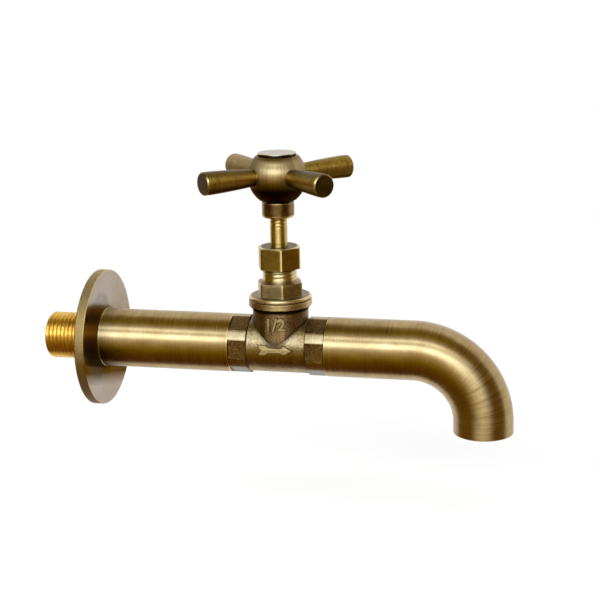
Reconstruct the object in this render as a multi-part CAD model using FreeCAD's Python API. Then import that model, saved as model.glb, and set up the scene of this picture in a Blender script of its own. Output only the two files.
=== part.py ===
import FreeCAD, Part
import math
import os

from FreeCAD import Vector

# Cross handle tap with a straight-through globe valve and a down-turned spout.
# All sizes are in millimetres.  The origin is the point where the tube axis meets the wall.
# +X follows the water from the wall to the spout, +Z points up the stem, and the -Y side
# is the front that shows the flow arrow.

# Inlet nipple and wall flange
inlet_thread_r = 10.4775        # G 1/2 pipe thread, over its crests
inlet_thread_length = 22.3      # stands out behind the wall plane
inlet_thread_lead_in = 1.2      # chamfer at the free end of the thread
inlet_bore_r = 7.5
inlet_shank_relief = 0.25       # the plain shank lies this far below the crests
inlet_spigot_length = 11.6      # brazed into the tube
flange_r = 30.4
flange_thickness = 4.4
flange_edge = 0.5               # chamfer round both faces
flange_hole_clearance = 0.1     # lets the flange slide over the thread

# Tubes
tube_r = 13.0
tube_wall = 1.0
tube_end_chamfer = 0.3
braze_gap = 0.03                # between a tube and the spigot inside it
inlet_tube_length = 59.75
spout_run = 37.45               # straight tube between the body and the bend
spout_bend_r = 30.4             # of the centre line
spout_drop = 4.9                # straight tube under the bend

# Valve body casting
barrel_r = 12.1
barrel_half_length = 13.1
collar_length = 8.3             # spanner collar between the barrel and a tube
collar_across_flats = 24.3
body_spigot_length = 5.0
neck_r_at_axis = 11.85          # the neck widens upwards by the casting's draft
neck_r_under_rim = 12.3
neck_height = 16.4
rim_r = 13.85
rim_low = 18.4                  # where the hollow under the rim runs out to its edge
rim_top = 21.1
rim_edge = 0.4
waterway_r = 9.0
upper_chamber_r = 9.5
partition_reach = 12.0          # the full round bores stop this far from the stem axis
lower_chamber_reach = 9.0       # past the stem axis, towards the spout
seat_plate_top = 2.0
seat_plate_thickness = 3.0
seat_orifice_r = 6.0
seat_lip_height = 1.0
seat_lip_width = 1.3

# Washer and jumper
seat_gap = 0.05                 # under the closed washer
washer_r = 7.3
washer_thickness = 3.0
jumper_plate_thickness = 2.0
jumper_stem_r = 2.5
jumper_stem_length = 8.0
jumper_stud_r = 2.0
jumper_stud_end = 0.3           # shows below the nut
washer_nut_across_flats = 7.0
washer_nut_height = 2.5
loose_fit = 0.05                # radial, for parts slipped over one another

# Travel: a coarse stem thread lifts the washer
opening_angle = 1110.0          # degrees from shut to fully open
stem_thread_lead = 2.0
travel_reserve = 0.35           # left over at the back seat
full_turn = 360.0

# Spindle
stem_r = 3.77
stem_thread_r = 5.0
stem_thread_length = 16.9
stem_edge = 0.5
stem_shown = 12.8               # bare stem between the gland nut and the handle
spline_r = 3.4
shoulder_above_collar_foot = 8.4
spline_length = 13.0
jumper_bore_reserve = 0.4

# Bonnet
gasket_thickness = 0.4
gasket_inset = 0.9              # the washer stays back from the rim and leaves a groove
bonnet_spigot_r = 10.2
bonnet_spigot_length = 9.9
bonnet_thread_gap = 0.04
bonnet_floor_gap = 0.5          # between the spigot and the step of the neck bore
bonnet_flange_r = 13.6
bonnet_flange_thickness = 1.4
bonnet_flange_edge = 0.7
bonnet_across_flats = 18.25
bonnet_hex_height = 5.9
bonnet_hex_turn = 21.0          # degrees that the front corner is turned towards the spout
bonnet_cone_height = 1.2
bonnet_cone_r = 9.0
gland_thread_r = 7.7
washer_recess_gap = 0.4         # round and above the raised washer plate
back_seat_thickness = 1.5

# Gland
packing_height = 4.0
packing_r = 5.6
packing_gap = 0.03
gland_ring_gap = 0.08
gland_nut_above_cone = 5.0      # thread that shows between the cone and the nut
gland_nut_height = 9.5
gland_nut_across_flats = 17.46
gland_nut_turn = 19.5
gland_nut_top_r = 8.3
gland_nut_chamfer_height = 0.5
gland_nut_roof = 2.2
gland_nut_hole_gap = 0.18
bonnet_top_gap = 0.8            # under the roof of the gland nut
gland_thread_gap = 0.04

# Handle
collar_r = 7.0
collar_height = 6.8
collar_foot_round = 1.0
collar_top_edge = 0.3
hub_boss_r = 5.2
hub_boss_recess = 1.4           # the boss stops this far above the foot of the collar
hub_above_collar = 0.7
hub_foot_r = 7.8
hub_r = 12.7
hub_centre_above_collar = 11.5
hub_top_above_centre = 8.35
hub_top_r = 9.15
screw_pull_gap = 0.6            # lets the screw clamp the hub on the shoulder of the spindle
screw_shank_r = 2.0
screw_shank_length = 9.0
screw_head_r = 3.6
screw_head_height = 2.4
screw_well_r = 4.6
cap_r = 8.3
cap_thickness = 1.35
cap_edge = 0.6
cap_plug_depth = 1.6
handle_fit = 0.03

# Arms of the cross
arm_count = 4
first_arm_angle = 46.2          # degrees from +X towards +Y
arm_reach = 36.7                # from the stem axis to the end face
arm_foot_r = 3.6
arm_middle_r = 4.5
arm_middle_reach = 23.0
arm_end_r = 4.95
arm_taper_reach = 33.0
arm_end_chamfer = 0.45
arm_stud_r = 2.5
arm_stud_length = 4.5
arm_seat_depth = 0.1            # the spot face is cut this far into the ball

quarter_turn = 90.0
hexagon_sides = 6
cutter_margin = 1.0             # cutting tools run this far past the faces they cut

# Places along the water path
inlet_tube_start = flange_thickness
inlet_tube_end = inlet_tube_start + inlet_tube_length
stem_x = inlet_tube_end + collar_length + barrel_half_length
spout_start = stem_x + barrel_half_length + collar_length
bend_start = spout_start + spout_run
mouth_z = -spout_bend_r - spout_drop
tube_inner_r = tube_r - tube_wall
body_half_length = barrel_half_length + collar_length

# Heights up the stem
stem_lift = stem_thread_lead * opening_angle / full_turn
seat_top = seat_plate_top + seat_lip_height
washer_low = seat_top + seat_gap
plate_low = washer_low + washer_thickness
plate_top = plate_low + jumper_plate_thickness
spindle_low = plate_top + seat_gap
stem_thread_top = spindle_low + stem_thread_length
back_seat_low = stem_thread_top + stem_lift + travel_reserve
packing_low = back_seat_low + back_seat_thickness
packing_top = packing_low + packing_height
flange_low = rim_top + gasket_thickness
bonnet_hex_low = flange_low + bonnet_flange_thickness
bonnet_hex_top = bonnet_hex_low + bonnet_hex_height
bonnet_cone_top = bonnet_hex_top + bonnet_cone_height
bonnet_low = flange_low - bonnet_spigot_length
gland_nut_low = bonnet_cone_top + gland_nut_above_cone
gland_nut_top = gland_nut_low + gland_nut_height
gland_roof_low = gland_nut_top - gland_nut_roof
bonnet_top = gland_roof_low - bonnet_top_gap
collar_low = gland_nut_top + stem_shown
collar_top = collar_low + collar_height
hub_low = collar_top + hub_above_collar
hub_centre = collar_top + hub_centre_above_collar
hub_top = hub_centre + hub_top_above_centre
shoulder_z = collar_low + shoulder_above_collar_foot
spindle_top = shoulder_z + spline_length
screw_seat = spindle_top + screw_pull_gap
cap_top = hub_top + cap_thickness


def turned(start, *moves):
    """Solid turned about Z from a closed outline of (radius, height) points.

    A move is the next point, or a pair of points: one that an arc passes through and its end.
    """
    def place(point):
        return Vector(point[0], 0, point[1])

    edges = []
    here = start
    for move in list(moves) + [start]:
        if isinstance(move[0], tuple):
            through, end = move
            edges.append(Part.Arc(place(here), place(through), place(end)).toShape())
        else:
            end = move
            edges.append(Part.LineSegment(place(here), place(end)).toShape())
        here = end
    face = Part.Face(Part.Wire(edges))
    return face.revolve(Vector(0, 0, 0), Vector(0, 0, 1), full_turn)


def ring(inner_r, outer_r, low, high, edge=0.0):
    """Turned ring, or disc when inner_r is 0, with its outer edges chamfered by edge."""
    if edge == 0:
        return turned((inner_r, low), (outer_r, low), (outer_r, high), (inner_r, high))
    return turned(
        (inner_r, low),
        (outer_r - edge, low),
        (outer_r, low + edge),
        (outer_r, high - edge),
        (outer_r - edge, high),
        (inner_r, high),
    )


def lying(shape):
    """Lays a shape that was turned about Z along X, so that its height becomes its X."""
    laid = shape.copy()
    laid.rotate(Vector(0, 0, 0), Vector(0, 1, 0), quarter_turn)
    return laid


def on_stem(shape):
    """Moves a shape that was made about the origin to the stem axis."""
    moved = shape.copy()
    moved.translate(Vector(stem_x, 0, 0))
    return moved


def hex_prism(across_flats, low, high, turn):
    """Upright hexagon with one corner at the front (-Y), turned by some degrees towards +X."""
    corner_r = across_flats / math.sqrt(3)
    corners = []
    for side in range(hexagon_sides + 1):
        angle = math.radians(turn - quarter_turn + side * full_turn / hexagon_sides)
        corners.append(Vector(corner_r * math.cos(angle), corner_r * math.sin(angle), low))
    return Part.Face(Part.makePolygon(corners)).extrude(Vector(0, 0, high - low))


def joined(shapes):
    """Fuses a list of touching shapes into one and drops the seams between flush faces."""
    return shapes[0].fuse(shapes[1:]).removeSplitter()


def make_inlet_nipple():
    """Threaded tail, a plain shank through the flange and a spigot brazed into the tube."""
    shank_r = inlet_thread_r - inlet_shank_relief
    spigot_r = tube_inner_r - braze_gap
    spigot_end = inlet_tube_start + inlet_spigot_length
    nipple = turned(
        (inlet_bore_r, -inlet_thread_length),
        (inlet_thread_r - inlet_thread_lead_in, -inlet_thread_length),
        (inlet_thread_r, -inlet_thread_length + inlet_thread_lead_in),
        (inlet_thread_r, 0),
        (shank_r, 0),
        (shank_r, inlet_tube_start),
        (spigot_r, inlet_tube_start),
        (spigot_r, spigot_end),
        (inlet_bore_r, spigot_end),
    )
    return lying(nipple)


def make_wall_flange():
    """Flat disc between the wall and the end of the inlet tube."""
    hole_r = inlet_thread_r + flange_hole_clearance
    return lying(ring(hole_r, flange_r, 0, flange_thickness, flange_edge))


def make_inlet_tube():
    return lying(ring(tube_inner_r, tube_r, inlet_tube_start, inlet_tube_end, tube_end_chamfer))


def spout_rod(radius, overrun):
    """Solid rod along the spout's centre line, run past both ends by overrun."""
    start = Vector(spout_start - overrun, 0, 0)
    disc = Part.Face(Part.Wire(Part.makeCircle(radius, start, Vector(1, 0, 0))))
    run = disc.extrude(Vector(spout_run + overrun, 0, 0))
    bend_disc = Part.Face(Part.Wire(Part.makeCircle(radius, Vector(bend_start, 0, 0), Vector(1, 0, 0))))
    bend = bend_disc.revolve(Vector(bend_start, 0, -spout_bend_r), Vector(0, 1, 0), quarter_turn)
    bend_end = Vector(bend_start + spout_bend_r, 0, -spout_bend_r)
    drop = Part.makeCylinder(radius, spout_drop + overrun, bend_end, Vector(0, 0, -1))
    return joined([run, bend, drop])


def make_spout_tube():
    """Tube that runs from the body, bends down and ends in an open mouth."""
    tube = spout_rod(tube_r, 0).cut(spout_rod(tube_inner_r, cutter_margin))
    outer_end_rims = [
        edge for edge in tube.Edges
        if isinstance(edge.Curve, Part.Circle)
        and abs(edge.Curve.Radius - tube_r) < tube_end_chamfer
        and (abs(edge.CenterOfMass.x - spout_start) < tube_end_chamfer
             or abs(edge.CenterOfMass.z - mouth_z) < tube_end_chamfer)
    ]
    return tube.makeChamfer(tube_end_chamfer, outer_end_rims)


def collar_and_spigot():
    """One end of the casting: a round collar with six spanner flats, and the tube spigot."""
    collar = ring(0, tube_r, barrel_half_length, body_half_length)
    flats = hex_prism(collar_across_flats, barrel_half_length, body_half_length, 0)
    spigot_r = tube_inner_r - braze_gap
    spigot = ring(0, spigot_r, barrel_half_length, body_half_length + body_spigot_length)
    # Laid down, the prism keeps flats at the front and back and corners at the top and bottom
    flats.rotate(Vector(0, 0, 0), Vector(0, 0, 1), quarter_turn)
    return lying(joined([collar.common(flats), spigot]))


def neck_and_rim():
    """Upright neck with the casting's draft, hollowed out under a round rim."""
    under_rim = (
        neck_r_under_rim + (rim_r - neck_r_under_rim) * (1 - math.sin(math.radians(quarter_turn / 2))),
        rim_low - (rim_low - neck_height) * (1 - math.sin(math.radians(quarter_turn / 2))),
    )
    hollow_through = (
        rim_r - (under_rim[0] - neck_r_under_rim),
        neck_height + (rim_low - under_rim[1]),
    )
    return turned(
        (0, 0),
        (neck_r_at_axis, 0),
        (neck_r_under_rim, neck_height),
        (hollow_through, (rim_r, rim_low)),
        (rim_r, rim_top - rim_edge),
        (rim_r - rim_edge, rim_top),
        (0, rim_top),
    )


def seat_and_waterway():
    """The hollows of the casting: the water rises through the seat between two half chambers."""
    end = body_half_length + body_spigot_length + cutter_margin
    plate_bottom = seat_plate_top - seat_plate_thickness
    inlet_bore = lying(ring(0, waterway_r, -end, -partition_reach))
    outlet_bore = lying(ring(0, waterway_r, partition_reach, end))
    lower_chamber = lying(ring(0, waterway_r, -partition_reach, lower_chamber_reach))
    below_plate = Part.makeBox(
        partition_reach + lower_chamber_reach, 2 * waterway_r, waterway_r + plate_bottom,
        Vector(-partition_reach, -waterway_r, -waterway_r))
    upper_passage = lying(ring(0, waterway_r, 0, partition_reach))
    above_plate = Part.makeBox(
        partition_reach, 2 * waterway_r, waterway_r - seat_plate_top,
        Vector(0, -waterway_r, seat_plate_top))
    bore_floor = bonnet_low - bonnet_floor_gap
    upper_chamber = ring(0, upper_chamber_r, seat_plate_top, bore_floor)
    bonnet_bore = ring(0, bonnet_spigot_r + bonnet_thread_gap, bore_floor, rim_top + cutter_margin)
    orifice = ring(0, seat_orifice_r, plate_bottom, seat_top + cutter_margin)
    return [
        inlet_bore, outlet_bore,
        lower_chamber.common(below_plate), upper_passage.common(above_plate),
        upper_chamber, bonnet_bore, orifice,
    ]


def make_valve_body():
    """Globe valve casting: two crossing cylinders, collars, a rim and a Z-shaped partition."""
    barrel = lying(ring(0, barrel_r, -barrel_half_length, barrel_half_length))
    outlet_end = collar_and_spigot()
    inlet_end = outlet_end.mirror(Vector(0, 0, 0), Vector(1, 0, 0))
    outside = joined([barrel, outlet_end, inlet_end, neck_and_rim()])
    lip = ring(seat_orifice_r, seat_orifice_r + seat_lip_width, seat_plate_top, seat_top)
    casting = outside.cut(seat_and_waterway())
    return on_stem(joined([casting, lip]))


def make_bonnet_gasket():
    inner_r = bonnet_spigot_r + bonnet_thread_gap
    return on_stem(ring(inner_r, rim_r - gasket_inset, rim_top, flange_low))


def make_bonnet():
    """Headwork: spigot, flange, hexagon, cone and gland thread round the bore of the stem."""
    shaft = turned(
        (0, bonnet_low),
        (bonnet_spigot_r, bonnet_low),
        (bonnet_spigot_r, flange_low),
        (bonnet_flange_r, flange_low),
        (bonnet_flange_r, bonnet_hex_low - bonnet_flange_edge),
        (bonnet_flange_r - bonnet_flange_edge, bonnet_hex_low),
        (gland_thread_r, bonnet_hex_low),
        (gland_thread_r, bonnet_top),
        (0, bonnet_top),
    )
    hexagon = hex_prism(bonnet_across_flats, bonnet_hex_low, bonnet_hex_top, bonnet_hex_turn)
    cone = turned(
        (0, bonnet_hex_top),
        (bonnet_cone_r, bonnet_hex_top),
        (gland_thread_r, bonnet_cone_top),
        (0, bonnet_cone_top),
    )
    recess_r = washer_r + washer_recess_gap
    recess_top = plate_top + stem_lift + washer_recess_gap
    bore = turned(
        (0, bonnet_low - cutter_margin),
        (recess_r, bonnet_low - cutter_margin),
        (recess_r, recess_top),
        (stem_thread_r + loose_fit, recess_top),
        (stem_thread_r + loose_fit, back_seat_low),
        (stem_r + gland_ring_gap, back_seat_low),
        (stem_r + gland_ring_gap, packing_low),
        (packing_r, packing_low),
        (packing_r, bonnet_top + cutter_margin),
        (0, bonnet_top + cutter_margin),
    )
    outside = joined([shaft, hexagon, cone])
    return on_stem(outside.cut(bore))


def make_gland_packing():
    return on_stem(ring(stem_r + loose_fit, packing_r - packing_gap, packing_low, packing_top))


def make_gland_ring():
    """Follower that passes the thrust of the nut's roof to the packing."""
    return on_stem(ring(stem_r + gland_ring_gap, packing_r - packing_gap, packing_top, gland_roof_low))


def make_gland_nut():
    """Hexagon cap nut with a chamfered top and a hole for the stem."""
    prism = hex_prism(gland_nut_across_flats, gland_nut_low, gland_nut_top, gland_nut_turn)
    corner_r = gland_nut_across_flats / math.sqrt(3)
    turned_blank = turned(
        (0, gland_nut_low),
        (corner_r, gland_nut_low),
        (corner_r, gland_nut_top - gland_nut_chamfer_height),
        (gland_nut_top_r, gland_nut_top),
        (0, gland_nut_top),
    )
    thread_bore = ring(0, gland_thread_r + gland_thread_gap, gland_nut_low - cutter_margin, gland_roof_low)
    stem_hole = ring(0, stem_r + gland_nut_hole_gap, gland_roof_low, gland_nut_top + cutter_margin)
    return on_stem(prism.common(turned_blank).cut([thread_bore, stem_hole]))


def make_jumper():
    """Washer plate with a stem that turns in the foot of the spindle and a stud for the nut."""
    stud_low = washer_low - washer_nut_height - jumper_stud_end
    return on_stem(turned(
        (0, stud_low),
        (jumper_stud_r, stud_low),
        (jumper_stud_r, plate_low),
        (washer_r, plate_low),
        (washer_r, plate_top),
        (jumper_stem_r, plate_top),
        (jumper_stem_r, plate_top + jumper_stem_length),
        (0, plate_top + jumper_stem_length),
    ))


def make_tap_washer():
    return on_stem(ring(jumper_stud_r + loose_fit, washer_r, washer_low, plate_low))


def make_washer_nut():
    nut_low = washer_low - washer_nut_height
    prism = hex_prism(washer_nut_across_flats, nut_low, washer_low, 0)
    hole = ring(0, jumper_stud_r + loose_fit, nut_low - cutter_margin, washer_low + cutter_margin)
    return on_stem(prism.cut(hole))


def make_spindle():
    """Stem with a coarse thread and a blind bore at its foot and a plain end for the hub."""
    bore_r = jumper_stem_r + loose_fit
    bore_top = plate_top + jumper_stem_length + jumper_bore_reserve
    screw_hole_low = screw_seat - screw_shank_length - screw_pull_gap
    return on_stem(turned(
        (bore_r, spindle_low),
        (stem_thread_r - stem_edge, spindle_low),
        (stem_thread_r, spindle_low + stem_edge),
        (stem_thread_r, stem_thread_top - stem_edge),
        (stem_thread_r - stem_edge, stem_thread_top),
        (stem_r, stem_thread_top),
        (stem_r, shoulder_z),
        (spline_r, shoulder_z),
        (spline_r, spindle_top),
        (screw_shank_r + handle_fit, spindle_top),
        (screw_shank_r + handle_fit, screw_hole_low),
        (0, screw_hole_low),
        (0, bore_top),
        (bore_r, bore_top),
    ))


def make_handle_collar():
    """Skirt pressed over the boss of the hub, round at its foot and open round the stem."""
    bore_r = hub_boss_r + handle_fit
    drop = collar_foot_round * (1 - math.sin(math.radians(quarter_turn / 2)))
    return on_stem(turned(
        (bore_r, collar_low),
        (collar_r - collar_foot_round, collar_low),
        ((collar_r - drop, collar_low + drop), (collar_r, collar_low + collar_foot_round)),
        (collar_r, collar_top - collar_top_edge),
        (collar_r - collar_top_edge, collar_top),
        (bore_r, collar_top),
    ))


def arm_directions():
    """Turn of each arm about the stem, in degrees from +X."""
    return [first_arm_angle + number * full_turn / arm_count for number in range(arm_count)]


def along_arm(shape, direction):
    """Lays a shape turned about Z along an arm, so that its height becomes its reach."""
    laid = lying(shape)
    laid.rotate(Vector(0, 0, 0), Vector(0, 0, 1), direction)
    laid.translate(Vector(stem_x, 0, hub_centre))
    return laid


arm_seat = math.sqrt(hub_r ** 2 - arm_foot_r ** 2) - arm_seat_depth


def make_handle_hub():
    """Ball with a flat top, a boss for the collar, a socket for the stem and four arm seats."""
    boss_low = collar_low + hub_boss_recess
    ball = turned(
        (stem_r + handle_fit, boss_low),
        (hub_boss_r, boss_low),
        (hub_boss_r, hub_low),
        (hub_foot_r, hub_low),
        ((hub_r, hub_centre), (hub_top_r, hub_top)),
        (screw_well_r, hub_top),
        (screw_well_r, screw_seat),
        (spline_r + handle_fit, screw_seat),
        (spline_r + handle_fit, shoulder_z),
        (stem_r + handle_fit, shoulder_z),
    )
    sockets = []
    for direction in arm_directions():
        stud_hole = ring(0, arm_stud_r + handle_fit, arm_seat - arm_stud_length - handle_fit, arm_seat)
        spot_face = ring(0, arm_foot_r + handle_fit, arm_seat, hub_r + cutter_margin)
        sockets.append(along_arm(stud_hole, direction))
        sockets.append(along_arm(spot_face, direction))
    return on_stem(ball).cut(sockets)


def make_handle_arm(direction):
    """Arm that swells from its foot to a straight end, with a stud that holds it in the ball."""
    arm = turned(
        (0, arm_seat - arm_stud_length),
        (arm_stud_r, arm_seat - arm_stud_length),
        (arm_stud_r, arm_seat),
        (arm_foot_r, arm_seat),
        ((arm_middle_r, arm_middle_reach), (arm_end_r, arm_taper_reach)),
        (arm_end_r, arm_reach - arm_end_chamfer),
        (arm_end_r - arm_end_chamfer, arm_reach),
        (0, arm_reach),
    )
    return along_arm(arm, direction)


def make_index_cap():
    """Plain button with a round edge, plugged into the screw well."""
    drop = cap_edge * (1 - math.sin(math.radians(quarter_turn / 2)))
    plug_r = screw_well_r - handle_fit
    return on_stem(turned(
        (0, hub_top - cap_plug_depth),
        (plug_r, hub_top - cap_plug_depth),
        (plug_r, hub_top),
        (cap_r, hub_top),
        (cap_r, cap_top - cap_edge),
        ((cap_r - drop, cap_top - drop), (cap_r - cap_edge, cap_top)),
        (0, cap_top),
    ))


def make_handle_screw():
    """Cheese-head screw that pulls the hub down on the shoulder of the spindle."""
    return on_stem(turned(
        (0, screw_seat - screw_shank_length),
        (screw_shank_r, screw_seat - screw_shank_length),
        (screw_shank_r, screw_seat),
        (screw_head_r, screw_seat),
        (screw_head_r, screw_seat + screw_head_height),
        (0, screw_seat + screw_head_height),
    ))


nodes = {
    "inlet_nipple": make_inlet_nipple(),
    "wall_flange": make_wall_flange(),
    "inlet_tube": make_inlet_tube(),
    "valve_body": make_valve_body(),
    "spout_tube": make_spout_tube(),
    "bonnet_gasket": make_bonnet_gasket(),
    "bonnet": make_bonnet(),
    "gland_packing": make_gland_packing(),
    "gland_ring": make_gland_ring(),
    "gland_nut": make_gland_nut(),
    "jumper": make_jumper(),
    "tap_washer": make_tap_washer(),
    "washer_nut": make_washer_nut(),
    "spindle": make_spindle(),
    "handle_collar": make_handle_collar(),
    "handle_hub": make_handle_hub(),
    "index_cap": make_index_cap(),
    "handle_screw": make_handle_screw(),
}
for number, direction in enumerate(arm_directions(), start=1):
    nodes[f"handle_arm_{number}"] = make_handle_arm(direction)

os.makedirs("parts", exist_ok=True)
for name, shape in nodes.items():
    shape.exportStep(f"parts/{name}.step")
    print(name, "valid", shape.isValid(), "solids", len(shape.Solids), "volume", round(shape.Volume, 1))
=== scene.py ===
import math

import bmesh
import bpy
import numpy as np
from mathutils import Matrix, Vector


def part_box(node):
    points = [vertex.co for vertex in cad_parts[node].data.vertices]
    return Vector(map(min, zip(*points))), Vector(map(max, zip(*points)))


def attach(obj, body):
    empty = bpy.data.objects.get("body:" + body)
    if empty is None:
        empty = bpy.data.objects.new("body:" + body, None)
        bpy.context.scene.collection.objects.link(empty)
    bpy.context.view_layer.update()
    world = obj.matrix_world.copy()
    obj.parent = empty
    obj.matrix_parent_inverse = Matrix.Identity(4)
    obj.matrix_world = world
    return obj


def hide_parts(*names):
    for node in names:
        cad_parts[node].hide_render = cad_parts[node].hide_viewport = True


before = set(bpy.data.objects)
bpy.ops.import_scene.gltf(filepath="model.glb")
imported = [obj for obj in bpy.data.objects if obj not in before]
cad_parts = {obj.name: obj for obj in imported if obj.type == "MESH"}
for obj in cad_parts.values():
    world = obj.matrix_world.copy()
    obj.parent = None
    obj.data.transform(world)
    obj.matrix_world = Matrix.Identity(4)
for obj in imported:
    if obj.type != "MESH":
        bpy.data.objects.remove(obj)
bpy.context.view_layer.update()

# Inlet nipple: the tail that screws into the fitting in the wall.  It is free-machining
# brass, turned from bar and thread-rolled to G 1/2, and left without the antique patina.

MM = 0.001
STEPS_AROUND = 128
nipple_low, nipple_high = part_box("inlet_nipple")
flange_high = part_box("wall_flange")[1]
tube_low, tube_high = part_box("inlet_tube")
TUBE_R = tube_high.z
TUBE_BORE_R = TUBE_R - 1.0 * MM
SPIGOT_R = TUBE_BORE_R - 0.03 * MM
THREAD_R = 10.4775 * MM
PIPE_PITCH = 1.814 * MM
PIPE_THREAD_DEPTH = 1.16 * MM
PIPE_LEAD_IN = 1.2 * MM
NIPPLE_BORE_R = 7.5 * MM
SHANK_R = THREAD_R - 0.25 * MM
ROWS_PER_PITCH = 14
TUBE_LINE = (0, 0, 0), (1, 0, 0)      # a point and the direction of the tubes' axis
TOOL_MARK = 0.45 * MM                 # real marks are 0.1 mm apart, too fine to show


def rounded(corners):
    """Band through (radius, along, rounding) corners: its rows' along, radius and rub.

    Each corner is cut back by rounding times the tangent of half its turn and bridged by an
    arc.  A point just outside each end of the arc keeps the flats beside it flat when shaded.
    Rub is 1 on the arc of a corner that stands out and -1 in one that goes in.
    """
    corners = [np.array(corner, float) for corner in corners]
    outline, rub = [], []
    for before, corner, after in zip([corners[0]] + corners[:-1], corners, corners[1:] + [corners[-1]]):
        spot, rounding = corner[:2], corner[2]
        if rounding == 0:
            outline.append(spot)
            rub.append(0.0)
            continue
        back = (before[:2] - spot) / np.linalg.norm(before[:2] - spot)
        ahead = (after[:2] - spot) / np.linalg.norm(after[:2] - spot)
        turn = math.pi - math.acos(np.clip(back @ ahead, -1, 1))
        cut = rounding * math.tan(turn / 2)
        middle = (back + ahead) / np.linalg.norm(back + ahead)
        centre = spot + middle * rounding / math.cos(turn / 2)
        steps = max(3, int(math.degrees(turn) / 15))
        start, stop = spot + back * cut - centre, spot + ahead * cut - centre
        share = np.linspace(0, 1, steps + 1)[:, None]
        arc = (np.sin((1 - share) * turn) * start + np.sin(share * turn) * stop) / math.sin(turn) + centre
        goes_in = back[0] * ahead[1] - back[1] * ahead[0] > 0
        guard = 0.35 * rounding
        outline += [spot + back * (cut + guard), *arc, spot + ahead * (cut + guard)]
        rub += [0.0, *([-1.0 if goes_in else 1.0] * (steps + 1)), 0.0]
    outline = np.array(outline)
    return outline[:, 1:], outline[:, :1], np.array(rub)[:, None]


def weld(mesh, distance):
    """Merges points that lie closer than the distance and turns all faces outwards."""
    shape = bmesh.new()
    shape.from_mesh(mesh)
    bmesh.ops.remove_doubles(shape, verts=shape.verts, dist=distance)
    bmesh.ops.recalc_face_normals(shape, faces=shape.faces)
    shape.to_mesh(mesh)
    shape.free()


def placed(name, data):
    """New object in the scene with the given mesh, curve, camera or lamp."""
    made = bpy.data.objects.new(name, data)
    bpy.context.scene.collection.objects.link(made)
    return made


def closed_surface(name, points, lay, rub, comb):
    """Closed mesh from a grid of points, rows carried around by columns.

    Rows join the next row and the last column joins the first.  Rows that shrink to a point
    become poles, and equal first and last rows become a tunnel.  Attribute lay holds the place
    along and around the piece, rub tells worn edges (1) from hollows (-1), and comb points
    across the brush lines, the way in which they draw out a reflection.
    """
    rows, columns = points.shape[:2]
    row, column = np.meshgrid(np.arange(rows - 1), np.arange(columns), indexing="ij")
    beside = (column + 1) % columns
    faces = np.stack([row * columns + column, row * columns + beside,
                      (row + 1) * columns + beside, (row + 1) * columns + column], -1)
    mesh = bpy.data.meshes.new(name)
    mesh.from_pydata(points.reshape(-1, 3), [], faces.reshape(-1, 4))
    for key, kind, part, values in (("lay", "FLOAT_VECTOR", "vector", lay), ("rub", "FLOAT", "value", rub),
                                    ("comb", "FLOAT_VECTOR", "vector", np.broadcast_to(comb, points.shape))):
        mesh.attributes.new(key, kind, "POINT").data.foreach_set(part, values.ravel())
    weld(mesh, 1e-7)
    mesh.shade_smooth()
    return placed(name, mesh)


def about_axis(name, bands, origin, axis, columns=STEPS_AROUND, poleward=0.0, comb=None):
    """Closed surface about an axis, from bands of rows that follow each other.

    A band is (along, radius, rub): how far along the axis its rows lie, how far out and how
    worn, each as a number, one value a row or a grid.  The brush lines circle the axis, or
    run from pole to pole where poleward gives the radius at which their width is true, or
    else lie across comb.
    """
    level = np.ones((1, columns))
    bands = [np.broadcast_arrays(*band, level)[:3] for band in bands]
    along, radius, rub = (np.vstack(part).astype(float) for part in zip(*bands))
    axis = np.array(axis, float)
    side = np.cross((0, 1, 0), axis)
    side = side / np.linalg.norm(side)
    up = np.cross(axis, side)
    angle = np.arange(columns) * 2 * math.pi / columns
    across, above = radius * np.cos(angle), radius * np.sin(angle)
    points = np.array(origin) + along[..., None] * axis + across[..., None] * side + above[..., None] * up
    if comb is None:
        comb = axis
    if poleward:
        comb = np.cos(angle)[:, None] * up - np.sin(angle)[:, None] * side
        across, above = poleward * np.cos(angle) + 0 * along, poleward * np.sin(angle) + 0 * along
    return closed_surface(name, points, np.stack([along, across, above], -1), rub, comb)


def turned(name, corners, origin, axis, columns=STEPS_AROUND, comb=None):
    """Piece turned on a lathe from rounded (radius, along, rounding) corners."""
    return about_axis(name, [rounded(corners)], origin, axis, columns, comb=comb)


def thread_radius(along, columns, crest_r, depth, pitch, start_angle=0.0):
    """Radius of a right-handed thread at each place along and column around its axis.

    The phase falls by one per turn, and the flanks are straight between short flats.
    """
    angle = np.arange(columns) / columns + start_angle
    phase = (along / pitch - angle) % 1
    flank = np.clip((1 - np.abs(2 * phase - 1) - 0.14) / 0.72, 0, 1)
    return crest_r - depth * (0.6 * flank + 0.4 * flank ** 2 * (3 - 2 * flank))


def colour(code):
    """Linear colour with alpha 1 for an sRGB hex value such as "#AC9568"."""
    channels = np.array([int(code[i:i + 2], 16) for i in (1, 3, 5)]) / 255
    linear = np.where(channels <= 0.04045, channels / 12.92, ((channels + 0.055) / 1.055) ** 2.4)
    return (*linear, 1.0)


def add(tree, kind, *inputs, output=0, **settings):
    """Adds one shader node with its settings and links, and gives one of its outputs.

    The inputs are values, or outputs to link, in the node's order or in one dict by name.
    """
    node = tree.nodes.new("ShaderNode" + kind)
    for key, value in settings.items():
        setattr(node, key, value)
    named = inputs[0] if inputs and isinstance(inputs[0], dict) else dict(enumerate(inputs))
    for key, value in named.items():
        if isinstance(value, bpy.types.NodeSocket):
            tree.links.new(value, node.inputs[key])
        else:
            node.inputs[key].default_value = value
    return node.outputs[output] if node.outputs else None


def ranged(tree, value, low, high, from_low=0.3, from_high=0.7):
    """Value carried to low..high from another range, at first the one that noise fills, and clamped."""
    return add(tree, "MapRange", {
        "Value": value, "From Min": from_low, "From Max": from_high, "To Min": low, "To Max": high})


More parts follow.
